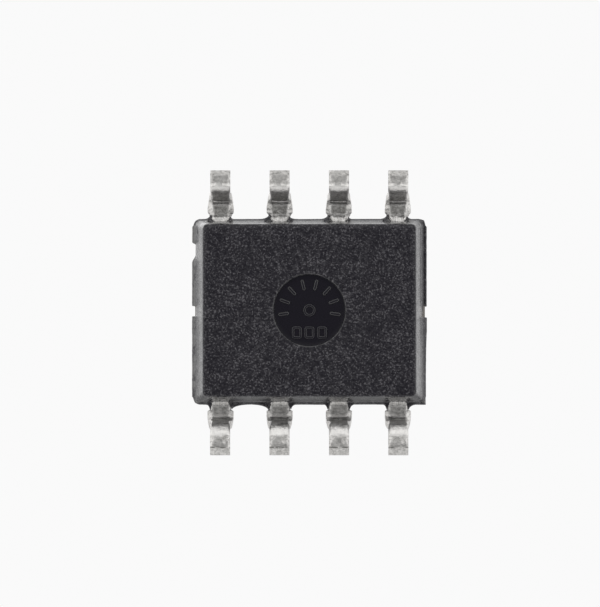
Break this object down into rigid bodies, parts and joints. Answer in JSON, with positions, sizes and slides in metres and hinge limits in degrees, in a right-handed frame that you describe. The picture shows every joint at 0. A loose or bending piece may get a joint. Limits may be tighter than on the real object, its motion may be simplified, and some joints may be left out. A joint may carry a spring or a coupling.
{
  "type": "mosfet driver chip",
  "caption": "Surface-mount driver chip: black moulded small-outline body with gull-wing tinned leads along two sides and a round ejector recess underneath.",
  "frame": {"origin": "on the board's face that the feet stand on, below the centre of the leads' footprint", "axes": "+Z away from the board; X along the rows of leads; Y across them, from the row of leads 1 to 4 (-Y) to the row of leads 5 to 8 (+Y)"},
  "size_m": [0.005, 0.0061, 0.0016],
  "materials": {
    "moulding_compound": "fine spark-eroded matte black epoxy",
    "tinned_lead": "matte tin plate over copper",
    "copper_frame": "bare copper with a satin roll grain",
    "silver_epoxy": "silver-filled die adhesive",
    "silicon": "polished die with fine metal tracks",
    "gold_wire": "drawn gold wire"
  },
  "bodies": {
    "root": {"package_body": "moulding_compound", "die_paddle": "copper_frame", "die_attach": "silver_epoxy", "silicon_die": "silicon", "lead_1": "tinned_lead", "lead_2": "tinned_lead", "lead_3": "tinned_lead", "lead_4": "tinned_lead", "lead_5": "tinned_lead", "lead_6": "tinned_lead", "lead_7": "tinned_lead", "lead_8": "tinned_lead", "bond_wire_1": "gold_wire", "bond_wire_2": "gold_wire", "bond_wire_3": "gold_wire", "bond_wire_4": "gold_wire", "bond_wire_5": "gold_wire", "bond_wire_6": "gold_wire", "bond_wire_7": "gold_wire", "bond_wire_8": "gold_wire"}
  },
  "joints": []
}
